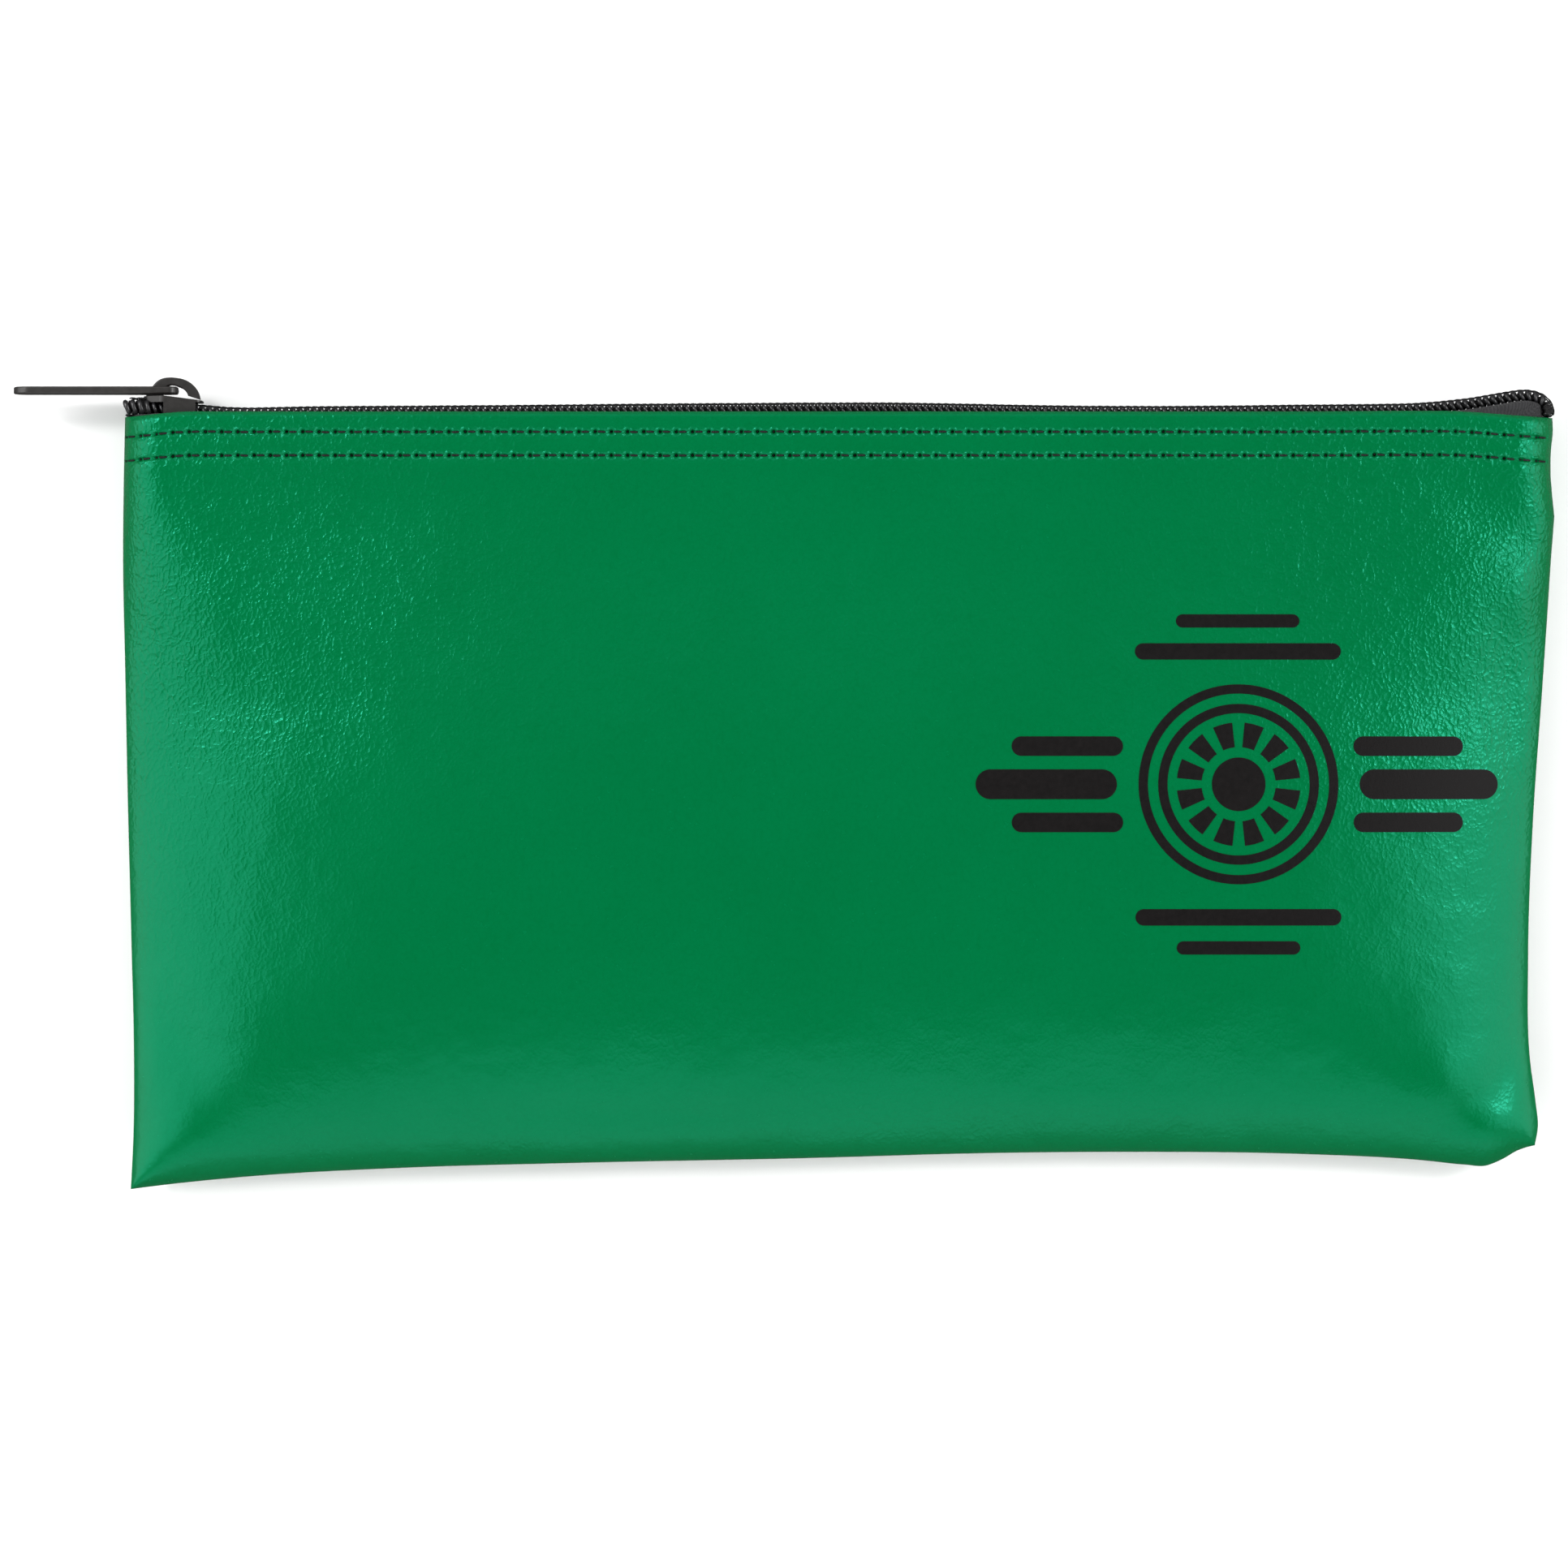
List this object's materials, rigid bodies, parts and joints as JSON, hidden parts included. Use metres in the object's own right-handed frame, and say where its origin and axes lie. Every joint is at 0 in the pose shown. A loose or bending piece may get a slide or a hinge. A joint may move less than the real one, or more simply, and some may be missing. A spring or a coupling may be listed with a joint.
{
  "type": "zippered cash deposit bag",
  "caption": "Flat rectangular zippered vinyl pouch for cash and cheques, with a coil zipper along its long top edge and a metal pull.",
  "frame": {"origin": "middle of the flat face of the back panel that the bag rests on, on the bag's centre line", "axes": "+X along the zipper towards its open end, +Y from the bottom seam to the zipper, +Z out of the front panel"},
  "size_m": [0.3014, 0.1585, 0.0227],
  "materials": {
    "vinyl": "satin",
    "tape": "matte",
    "coil": "satin",
    "thread": "satin",
    "slider": "gloss"
  },
  "bodies": {
    "bag_back": {"back_panel": "vinyl", "back_zipper_tape": "tape", "back_coil": "coil", "back_coil_core": "thread", "back_coil_stitching": "thread", "back_upper_stitching": "thread", "back_lower_stitching": "thread", "seam_stitching": "thread", "left_end_tack": "thread", "right_end_tack": "thread"},
    "bag_front": {"front_panel": "vinyl", "front_zipper_tape": "tape", "front_coil": "coil", "front_coil_core": "thread", "front_coil_stitching": "thread", "front_upper_stitching": "thread", "front_lower_stitching": "thread"},
    "slider": {"slider_body": "slider"},
    "pull": {"pull_tab": "slider"}
  },
  "joints": [
    {"name": "zip_slide", "type": "slide", "parent": "bag_back", "child": "slider", "axis": [1, 0, 0], "range_m": [0, 0.25], "deforming": ["back_zipper_tape", "back_coil", "back_coil_core", "back_coil_stitching", "front_zipper_tape", "front_coil", "front_coil_core", "front_coil_stitching"]},
    {"name": "mouth_open", "type": "hinge", "parent": "bag_back", "child": "bag_front", "pos_m": [0, -0.0739, 0.0082], "axis": [0.9998, 0.0174, 0], "range_deg": [0, 12]},
    {"name": "pull_swing", "type": "hinge", "parent": "slider", "child": "pull", "pos_m": [-0.1299, 0.08017, 0.0082], "axis": [0, 0, -1], "range_deg": [0, 150]}
  ],
  "couplings": [
    {"joint": "mouth_open", "follows": "zip_slide", "rad_per_m": 0.8377}
  ]
}
